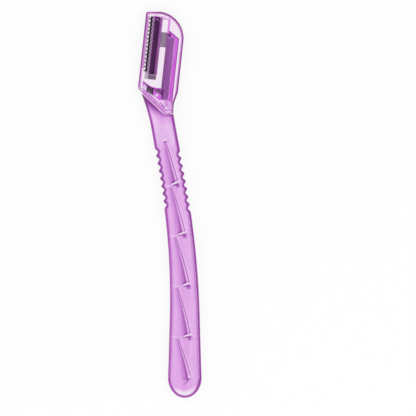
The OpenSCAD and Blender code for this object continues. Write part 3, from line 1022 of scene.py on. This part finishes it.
# The cap's runs from 0, a face that looks into the cap, to 1, one that looks out
CAP_TURN = (
    (0.02, WHITE), (0.42, (0.95, 0.88, 0.96)), (0.57, (0.66, 0.36, 0.7)), (0.62, (0.27, 0.012, 0.29)),
    (0.955, (0.27, 0.012, 0.29)), (0.98, (0.62, 0.34, 0.64)), (0.997, WHITE),
)

# Surface colour by the mesh's tone of painted light and shade, from the darkest at 0 over the plain one to the
# lightest at 1
HANDLE_TONES = (
    (0, (0.28, 0.05, 0.31)), (0.25, (0.55, 0.21, 0.63)), (0.5, (0.83, 0.47, 0.88)),
    (0.75, (0.94, 0.72, 0.96)), (1, WHITE),
)
HEAD_PLAIN = (0.893, 0.5, 0.925)
HEAD_TONES = ((0, HEAD_PLAIN), (1, HEAD_PLAIN))
CLEAR_TONES = ((0, WHITE), (1, WHITE))

# Colours of painted shade that more than one patch uses
HEAD_DARK = (0.55, 0.12, 0.6)
STROKE = (0.8, 0.3, 0.84)
RIB_DARK = (0.4, 0.14, 0.44)
CAP_DARK = (0.52, 0.09, 0.56)
RIM_LINE = (0.74, 0.22, 0.78)

# Patches of painted light and shade on the head's plane: centre, half size, softness, lean in degrees,
# strength and colour
RIM_LEAN = degrees(atan(RIM_SLOPE))
RIM_MID = (RIM_LEFT + RIM_APEX) / 2
RIM_UP = unit(radians(RIM_LEAN + 90))
RIM_HALF = norm(RIM_APEX - RIM_LEFT) / 2
ARC_DARK_R = CAP_SHOULDER_R - EDGE_SOFT * 2


def on_rim(rise, half, soft, strength, colour):
    """Patch along the cap's slanted rim, lifted by rise."""
    return RIM_MID + RIM_UP * rise, (RIM_HALF, half), soft, RIM_LEAN, strength, colour


def on_arc(angle, strength):
    """Patch of painted shade along the cap's round shoulder, at an angle in degrees."""
    centre = ARC_MID + ARC_DARK_R * unit(radians(angle))
    return centre, (0.0012, 0.00016), 0.0002, angle - 90, strength, CAP_DARK


HEAD_PATCHES = (
    # Painted light round the foot and along the rim
    ((0.0029, -0.0053), (0.0015, 0.0022), 0.0006, 0, 1, WHITE),
    ((0.0055, -0.0053), (0.0006, 0.002), 0.0009, 0, 0.6, WHITE),
    ((-0.0045, 0.0006), (0.0016, 0.0012), 0.0006, RIM_LEAN, 0.75, WHITE),
    on_rim(0.0012, 0.0011, 0.0003, 0.95, WHITE),
    ((-0.00005, -0.00105), (0.0003, 0.0002), 0.0005, 0, 1, WHITE),
    # Painted shade along the edges of the chin and of the column's slope, and in the hollow beside it
    ((-0.005, 0.003), (0.001, 0.0001), 0.0002, -33, 0.9, HEAD_DARK),
    ((0.0041, 0.0228), (0.0024, 0.00012), 0.00025, -33, 0.9, HEAD_DARK),
    ((0.0022, 0.0226), (0.0004, 0.0003), 0.0005, -33, 1, (0.3, 0.03, 0.33)),
    # Painted shade in strokes by the rim's apex
    ((0.0022, -0.0043), (0.0009, 0.00008), 0.0002, -40, 0.9, STROKE),
    ((0.0031, -0.0052), (0.0007, 0.00008), 0.0002, -32, 0.9, STROKE),
    ((0.004, -0.004), (0.0004, 0.0009), 0.0004, 15, 0.5, (0.8, 0.35, 0.84)),
    # Painted highlights and shade along the edges of the rib, the guard and the bar
    ((0.00455, 0.0095), (0.0001, 0.0115), 0.00015, 0, 0.3, WHITE),
    ((-0.0044, 0.017), (0.00035, 0.012), 0.0001, 0, 1, WHITE),
    ((0.0019, 0.0002), (0.00012, 0.0023), 0.0002, 0, 1, (0.3, 0.08, 0.34)),
    ((0.0023, -0.0003), (0.0002, 0.0019), 0.0002, 0, 1, (0.55, 0.24, 0.6)),
    ((-0.0014, 0.018), (0.0003, 0.011), 0.0001, 0, 0.7, (1, 0.85, 1)),
    # Painted light on the column's edge and top, painted shade along the back, and painted light on the frame
    # round the window's top
    ((0.00165, 0.0125), (0.0003, 0.0115), 0.0001, 0, 0.9, (1, 0.75, 1)),
    ((0.00608, 0.009), (0.0001, 0.0125), 0.0002, 0, 0.8, HEAD_DARK),
    ((0.0055, 0.006), (0.0005, 0.006), 0.003, 0, 0.4, (0.8, 0.36, 0.84)),
    ((0.0016, 0.0268), (0.0005, 0.0024), 0.0003, 0, 0.3, WHITE),
    ((-0.0008, 0.029), (0.0022, 0.0003), 0.0003, 0, 0.8, WHITE),
)
# Painted shade along the rib's left edge and low end, and a painted highlight near its top
RIB_PATCHES = (
    ((0.00216, 0.01), (0.0001, 0.0115), 0.0002, 0, 0.8, RIB_DARK),
    ((0.0032, -0.00235), (0.0008, 0.0001), 0.0002, 0, 0.7, RIB_DARK),
    ((0.0033, 0.022), (0.0006, 0.00008), 0.0002, 0, 0.8, WHITE),
)
CAP_PATCHES = (
    # Painted shade at the waist, over the comb side and along the back wall
    ((WAIST_X, -0.0054), (0.0003, 0.0026), 0.0002, 0, 1, CAP_DARK),
    ((-0.0067, 0.019), (0.0005, 0.01), 0.0003, 0, 1, (0.83, 0.68, 0.83)),
    ((CAP_RIGHT - EDGE_SOFT * 2, 0.0105), (0.00016, 0.01), 0.0002, 0, 0.4, CAP_DARK),
    # Painted dark lines along the rim, and painted shade along the round shoulder
    on_rim(0.00055, 0.0001, 0.00015, 0.9, RIM_LINE),
    on_rim(0.0014, 0.0001, 0.00015, 0.7, RIM_LINE),
    *(on_arc(*row) for row in ((84, 1), (70, 1), (56, 0.7), (42, 0.4), (28, 0.3), (14, 0.3))),
)
# Painted highlights: two bright lines along the rim, a glint at its right end and a line along the cap's top
CAP_LIGHTS = (
    on_rim(0.00012, 0.0001, 0.00012, 0.9, WHITE),
    on_rim(0.00098, 0.00012, 0.00012, 0.9, WHITE),
    ((0.0052, -0.0069), (0.0005, 0.0002), 0.0003, 10, 1, WHITE),
    ((-0.0036, 0.0301), (0.0026, 0.0002), 0.0002, 0, 0.8, WHITE),
)


def tinted_plastic(name, depth, turn, tones, patches=(), middle=None, lights=()):
    """Clear plastic that absorbs in depth, coloured by its faces' turn, the mesh's tone and flat patches,
    which paint light and shade into it.
    """
    tint, density, ior = depth
    material = bpy.data.materials.new(name)
    nodes = Nodes(material)
    place = nodes.add("TexCoord").outputs
    up = nodes.parts(place["Normal"])["Z"]
    tone = nodes.get("Attribute", output="Fac", attribute_name="tone")
    plain = nodes.ramp(nodes.spread(tone, -1, 1, 0, 1), tones)
    if patches:
        plain = nodes.patched(plain, nodes.head_place(), patches)
    upright = nodes.math("ABSOLUTE", up)
    if middle:
        height = nodes.parts(place["Object"])["Z"]
        side = nodes.math("SIGN", nodes.math("SUBTRACT", height, middle))
        leaving = nodes.get("NewGeometry", output="Backfacing")
        side = nodes.math("MULTIPLY", side, nodes.spread(leaving, 0, 1, 1, -1))
        upright = nodes.spread(nodes.math("MULTIPLY", up, side), -1, 1, 0, 1)
    front = nodes.get("Attribute", output="Fac", attribute_name="front")
    colour = nodes.multiply(plain, nodes.mix(front, nodes.ramp(upright, turn), WHITE))
    streaks = nodes.noise(place["Object"], STREAK_GRAINS)
    shade = STREAK_PALE if patches else STREAK_SHADE
    colour = nodes.multiply(colour, nodes.ramp(streaks, [(0.35, shade), (0.62, WHITE)]))
    # Painted highlights laid over the streaks
    if lights:
        colour = nodes.patched(colour, nodes.head_place(), lights)
    ripple = nodes.noise(place["Object"], RIPPLE_GRAINS, 1)
    relief = nodes.get("Bump", RIPPLE, {"Height": ripple})
    grain = nodes.noise(place["Object"], GLOSS_GRAINS)
    rough = nodes.spread(grain, 0.2, 0.8, *GLOSS)
    links = {"Base Color": colour, "Roughness": rough, "Normal": relief}
    surface = nodes.get("BsdfPrincipled", {"Transmission Weight": 1, "IOR": ior}, links)
    nodes.finish(surface, nodes.get("VolumeAbsorption", {"Color": (*tint, 1), "Density": density}))
    return material


# Colour of the steel across the head, its grey with bands of painted highlight and shade: the distance from
# the head's axis, and the colour there
BLADE_TONES = (
    (-0.00478, (0.03, 0.028, 0.03)), (-0.00465, (1, 0.95, 1)), (-0.0041, (1, 0.95, 1)),
    (-0.0039, (0.55, 0.48, 0.55)), (-0.0027, (0.48, 0.41, 0.48)), (-0.0021, (0.22, 0.15, 0.23)),
    (-0.0018, (0.22, 0.15, 0.23)), (-0.00172, (1, 0.78, 1)), (-0.001, (1, 0.88, 1)),
    (-0.0008, (0.6, 0.52, 0.62)), (0.0011, (0.6, 0.52, 0.62)), (0.0013, (1, 0.8, 1)),
)
GUARD_TONES = (
    (-0.0057, (0.36, 0.35, 0.36)), (-0.0055, (0.015, 0.014, 0.016)), (-0.00505, (0.015, 0.014, 0.016)),
    (-0.00492, (1, 0.8, 1)), (-0.0042, (1, 0.8, 1)), (-0.0039, (0.24, 0.17, 0.25)),
    (-0.003, (0.2, 0.14, 0.21)), (-0.002, (0.15, 0.1, 0.16)), (-0.00185, (1, 0.7, 1)),
)
BLADE_ROUGH, GUARD_ROUGH = 0.45, 0.4
BLADE_SOFT, GUARD_SOFT = 0.00003, 0.00002
# Painted shade on the blade's low end
STEEL_DARK = (0.355, 0.246, 0.366)

# Patches of the steel, in the same form: painted shade and a painted highlight on the guard's top, and on the
# blade's low end a painted reflection, painted shade and a painted highlight, with its two lobes in a darker
# and a greener colour
GUARD_PATCHES = (
    ((-0.003, 0.0288), (0.0013, 0.00035), 0.00015, -22, 0.9, (0.08, 0.05, 0.08)),
    ((-0.0029, 0.0281), (0.0013, 0.00012), 0.00012, -22, 1, (1, 0.82, 1)),
)
BLADE_PATCHES = (
    ((-0.0051, 0.0062), (0.0009, 0.0013), 0.00015, 0, 1, WHITE),
    ((-0.0027, 0.0057), (0.0013, 0.0009), 0.0003, 0, 1, STEEL_DARK),
    ((-0.0027, 0.0066), (0.0016, 0.00012), 0.0001, 0, 1, WHITE),
    ((-0.0027, 0.0004), (0.0019, 0.0024), 0.0002, 0, 1, (0.34, 0.32, 0.33)),
    ((0.0002, 0.0004), (0.001, 0.0016), 0.0002, 0, 1, (0.64, 0.92, 0.66)),
)

# Row of small beads pressed along the guard's inner side
BEAD_MID = (-0.0041, (GUARD_LOW + STRIP_TOP) / 2)
BEAD_HALF = (0.0002, (STRIP_TOP - GUARD_LOW) / 2)
BEAD_PITCH = 0.0009
BEAD_GAP = (0.3, 0.2, 0.31)
BEAD_GAP_SHARE = 0.75

# Rolled grain of the steel: grains to the metre, colour, relief, and how far the roughness swings
STEEL_GRAINS = (14000, 900, 14000)
STEEL_DIM = (0.86, 0.86, 0.86)
STEEL_RELIEF = {"Strength": 0.2, "Distance": 0.000004}
ROUGH_SWING = 0.06


def brushed_steel(name, tones, roughness, patches=(), beads=0):
    """Rolled steel with a fine grain along the head's axis, in tones across it that paint in highlights and
    shade. Its palest parts are matt.
    """
    material = bpy.data.materials.new(name)
    nodes = Nodes(material)
    place = nodes.head_place()
    across, up, _ = nodes.parts(place)
    share = nodes.spread(across, CHIN_X, HEAD_BACK, 0, 1)
    tone = nodes.ramp(share, [((x - CHIN_X) / (HEAD_BACK - CHIN_X), colour) for x, colour in tones])
    tone = nodes.patched(tone, place, patches)
    if beads:
        wave = nodes.math("SINE", nodes.math("MULTIPLY", up, 2 * pi / beads))
        beaded = nodes.patch(place, BEAD_MID, BEAD_HALF, BEAD_HALF[0])
        gap = nodes.math("MULTIPLY", nodes.spread(wave, -0.6, 0.6, BEAD_GAP_SHARE, 0), beaded)
        tone = nodes.mix(gap, tone, BEAD_GAP)
    bright = nodes.get("SeparateColor", {}, {0: tone})
    metal = nodes.spread(bright, 0.75, 1, 1, 0)
    grain = nodes.noise(place, STEEL_GRAINS)
    tone = nodes.multiply(tone, nodes.ramp(grain, [(0.3, STEEL_DIM), (0.7, WHITE)]))
    relief = nodes.get("Bump", STEEL_RELIEF, {"Height": grain})
    rough = nodes.spread(grain, 0.3, 0.7, roughness - ROUGH_SWING, roughness + ROUGH_SWING)
    links = {"Base Color": tone, "Metallic": metal, "Roughness": rough, "Normal": relief}
    nodes.finish(nodes.get("BsdfPrincipled", {}, links))
    return material


# Surroundings

FLOOR_GLOW = 0.85
FLOOR_DROP = 0.0001
FLOOR_W = 4
PAPER = (0.9, 0.9, 0.9, 1)
CAMERA_Z = 0.5
LAMP_FAR = 1

# Lamps as the razor sees them: degrees from the zenith, azimuth, width and height in degrees, and brightness
LAMPS = {
    "front_lamp": (38, -72, 24, 16, 5),
    "right_lamp": (28, 0, 8, 40, 3.5),
    "left_lamp": (62, 180, 10, 50, 2),
}

# Brightness of the room by the sine of the height above the horizon
SKY = ((0, (0.5,) * 3), (0.4, WHITE), (0.86, (0.85,) * 3), (0.97, (0.22,) * 3))


def floor():
    """White floor. The camera, plastic and metal see it white, and it keeps a faint shadow of the object."""
    half = FLOOR_W / 2
    corners = [(-half, -half), (half, -half), (half, half), (-half, half)]
    obj = new_object("floor", [(x, y, -FLOOR_DROP) for x, y in corners], [(0, 1, 2, 3)])
    material = bpy.data.materials.new("floor")
    nodes = Nodes(material)
    rays = nodes.add("LightPath").outputs
    seen = nodes.math("MULTIPLY", rays["Is Camera Ray"], FLOOR_GLOW)
    through = nodes.math("MAXIMUM", rays["Is Glossy Ray"], rays["Is Transmission Ray"])
    glow = nodes.math("MAXIMUM", seen, through)
    paper = nodes.get("BsdfDiffuse", {"Color": PAPER})
    light = nodes.get("Emission", {"Color": (*WHITE, 1), "Strength": 1})
    nodes.finish(nodes.get("MixShader", {}, {0: glow, 1: paper, 2: light}))
    paint(obj, material)


def world():
    """Soft white room light by SKY, which the camera sees as plain white past the floor."""
    made = bpy.data.worlds.new("room")
    bpy.context.scene.world = made
    nodes = Nodes(made, "OutputWorld")
    up = nodes.parts(nodes.get("TexCoord", output="Generated"))["Z"]
    sky = nodes.ramp(up, SKY)
    rays = nodes.add("LightPath").outputs
    colour = nodes.mix(rays["Is Camera Ray"], sky, WHITE)
    nodes.finish(nodes.get("Background", {"Strength": 1}, {"Color": colour}))


def lamp(name, tilt, azimuth, width, height, strength):
    """Area lamp from its row of LAMPS."""
    data = bpy.data.lights.new(name, "AREA")
    data.shape = "RECTANGLE"
    data.size, data.size_y = (2 * LAMP_FAR * tan(radians(a / 2)) for a in (width, height))
    data.energy = strength * pi * data.size * data.size_y
    obj = linked(name, data)
    tilt, azimuth = radians(tilt), radians(azimuth)
    away = Vector((sin(tilt) * cos(azimuth), sin(tilt) * sin(azimuth), cos(tilt)))
    obj.location = away * LAMP_FAR
    obj.rotation_euler = away.to_track_quat("Z", "Y").to_euler()


def camera():
    """Camera straight above, with the razor where the photograph has it: left of the frame's middle."""
    data = bpy.data.cameras.new("camera")
    data.type = "ORTHO"
    data.ortho_scale = PIXEL * FRAME_PIXELS
    obj = linked("camera", data)
    shift = (FRAME_PIXELS / 2 - BUTT_PIXEL[0], BUTT_PIXEL[1] - FRAME_PIXELS / 2)
    obj.location = (BUTT[0] + shift[0] * PIXEL, BUTT[1] + shift[1] * PIXEL, CAMERA_Z)
    bpy.context.scene.camera = obj


def dress(obj, material, body, slot, *nodes):
    """Gives a piece its material, body and the CAD nodes that it stands for. The slot is not used."""
    paint(obj, material)
    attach(obj, body)
    if nodes:
        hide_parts(*nodes)


def finish_node(name, material, bevel):
    """Gives a CAD node its material and fine round edges."""
    obj = frame["nodes"][name]
    paint(obj, material)
    merge = obj.modifiers.new("weld", "WELD")
    merge.merge_threshold = bevel / 100
    soft = obj.modifiers.new("edges", "BEVEL")
    soft.width = bevel
    soft.segments = 2
    soft.limit_method = "ANGLE"
    soft.angle_limit = NODE_BEVEL_ANGLE
    soft.harden_normals = True


camera()
floor()
world()
for lamp_name, row in LAMPS.items():
    lamp(lamp_name, *row)

handle_plastic = tinted_plastic("handle_plastic", HANDLE_DEPTH, HANDLE_TURN, HANDLE_TONES)
head_plastic = tinted_plastic("head_plastic", HEAD_DEPTH, HEAD_TURN, HEAD_TONES, HEAD_PATCHES)
rib_plastic = tinted_plastic("rib_plastic", RIB_DEPTH, HEAD_TURN, CLEAR_TONES, RIB_PATCHES)
cap_plastic = tinted_plastic(
    "cap_plastic", CAP_DEPTH, CAP_TURN, CLEAR_TONES, CAP_PATCHES, CAP_Z / 2, CAP_LIGHTS
)
for make, plastic in ((handle_shank, handle_plastic), (handle_head, head_plastic), (rib, rib_plastic)):
    dress(make(), plastic, "razor", "tinted_plastic", "handle")
dress(front_cover(), head_plastic, "razor", "tinted_plastic", "blade_cover")
dress(clear_cap(), cap_plastic, "cap", "cap_plastic", "cap")
blade_steel = brushed_steel("blade_steel", BLADE_TONES, BLADE_ROUGH, BLADE_PATCHES)
guard_steel = brushed_steel("guard_steel", GUARD_TONES, GUARD_ROUGH, GUARD_PATCHES, BEAD_PITCH)
finish_node("blade", blade_steel, BLADE_SOFT)
finish_node("guard_comb", guard_steel, GUARD_SOFT)

view = bpy.context.scene.view_settings
view.view_transform = "Standard"
